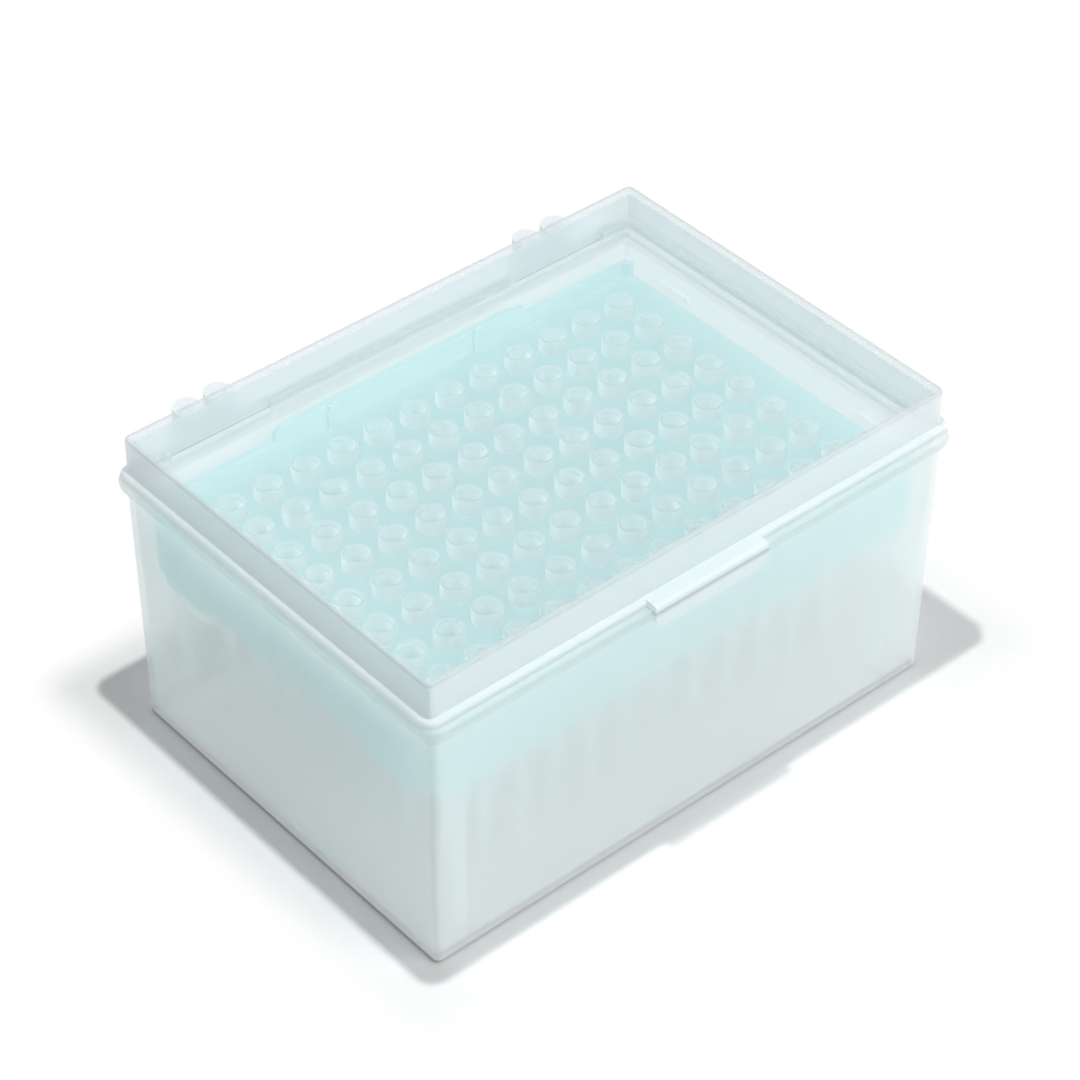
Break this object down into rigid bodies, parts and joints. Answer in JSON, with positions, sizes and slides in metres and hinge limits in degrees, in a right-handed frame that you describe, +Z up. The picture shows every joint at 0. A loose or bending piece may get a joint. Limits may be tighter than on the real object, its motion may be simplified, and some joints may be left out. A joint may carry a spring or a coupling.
{
  "type": "pipette tip box",
  "caption": "Hinged translucent laboratory box holding pipette tips upright in a lift-out perforated tray, lid closed.",
  "frame": {"origin": "middle of the underside of the base", "axes": "+X along the length, -Y towards the latch, +Y towards the hinges, +Z up"},
  "size_m": [0.1308, 0.1006, 0.0705],
  "materials": {
    "clear_box": "frosted translucent polypropylene, smooth outside",
    "clear_lid": "frosted translucent polypropylene, smooth outside",
    "aqua_tray": "pale aqua translucent polypropylene",
    "tip_plastic": "thin natural polypropylene"
  },
  "bodies": {
    "box": {"base": "clear_box", "tray": "aqua_tray", "tips_column_01": "tip_plastic", "tips_column_02": "tip_plastic", "tips_column_03": "tip_plastic", "tips_column_04": "tip_plastic", "tips_column_05": "tip_plastic", "tips_column_06": "tip_plastic", "tips_column_07": "tip_plastic", "tips_column_08": "tip_plastic", "tips_column_09": "tip_plastic", "tips_column_10": "tip_plastic", "tips_column_11": "tip_plastic", "tips_column_12": "tip_plastic"},
    "lid": {"lid": "clear_lid"}
  },
  "joints": [
    {"name": "lid_hinge", "type": "hinge", "parent": "box", "child": "lid", "pos_m": [0, 0.0487, 0.06], "axis": [-1, 0, 0], "range_deg": [0, 110]}
  ]
}
